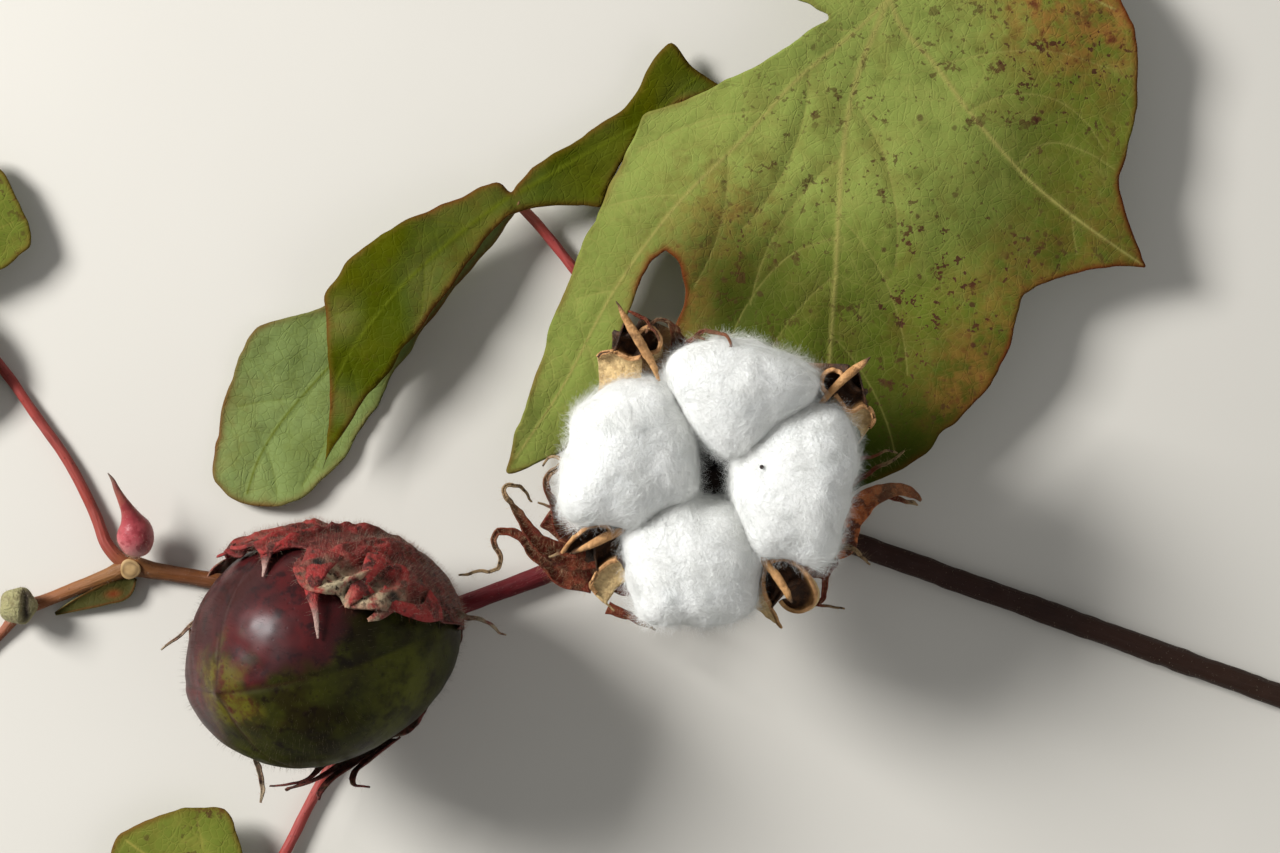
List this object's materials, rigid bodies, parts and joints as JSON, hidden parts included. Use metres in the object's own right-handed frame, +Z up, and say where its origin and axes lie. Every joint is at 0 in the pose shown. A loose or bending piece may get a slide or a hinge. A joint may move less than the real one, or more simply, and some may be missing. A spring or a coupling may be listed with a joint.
{
  "type": "cotton branch",
  "caption": "Cut fruiting branch of a cotton plant, lying flat: an open boll of white lint in a dry burr, a closed purple boll in fringed bracts, lobed leaves and young buds.",
  "frame": {"origin": "bottom centre of the bounding box, on the surface that the branch lies on", "axes": "+X towards the cut foot of the branch, +Y towards the tips of the leaf lobes behind the bolls, +Z up out of the surface, the way the open boll faces"},
  "size_m": [0.3156, 0.2478, 0.0545],
  "materials": {
    "bark": "thin satin bark of a young twig, red brown, crimson between the bolls, finely hairy",
    "stalk": "smooth pink to red skin with sparse fine hairs",
    "leaf": "soft matt leaf, mid green with tan veins, rusty speckles and edges",
    "lint": "fluffy matt white cotton lint",
    "burr": "dry papery tan husk, dark brown inside",
    "dried_bract": "dry curled red-brown bract with pale hairs",
    "boll_skin": "glossy waxy skin, dark purple red, olive green below",
    "bract": "velvety red bract with fine hairs and pale dry teeth",
    "bud": "downy red young bud, grey green where withered"
  },
  "bodies": {
    "root": {"branch_foot": "bark", "branch_middle": "bark", "branch_outer": "bark", "branch_upper": "bark", "branch_tip": "bark", "open_boll_stalk": "stalk", "burr_valve_upper_left": "burr", "burr_valve_upper_right": "burr", "burr_valve_lower_right": "burr", "burr_valve_lower_left": "burr", "lint_lock_top": "lint", "lint_lock_left": "lint", "lint_lock_bottom": "lint", "lint_lock_right": "lint", "open_bract_lower_left": "dried_bract", "open_bract_right": "dried_bract", "open_bract_top": "dried_bract", "closed_boll": "boll_skin", "closed_boll_stalk": "stalk", "closed_bract_upper": "bract", "closed_bract_lower": "bract", "closed_bract_back": "bract", "big_leaf_blade": "leaf", "big_leaf_stalk": "stalk", "second_leaf_blade": "leaf", "second_leaf_stalk": "stalk", "left_leaf_blade": "leaf", "left_leaf_stalk": "stalk", "lower_leaf_blade": "leaf", "lower_leaf_stalk": "stalk", "young_bud": "bud", "dry_scale": "leaf", "withered_bud": "bud"}
  },
  "joints": []
}
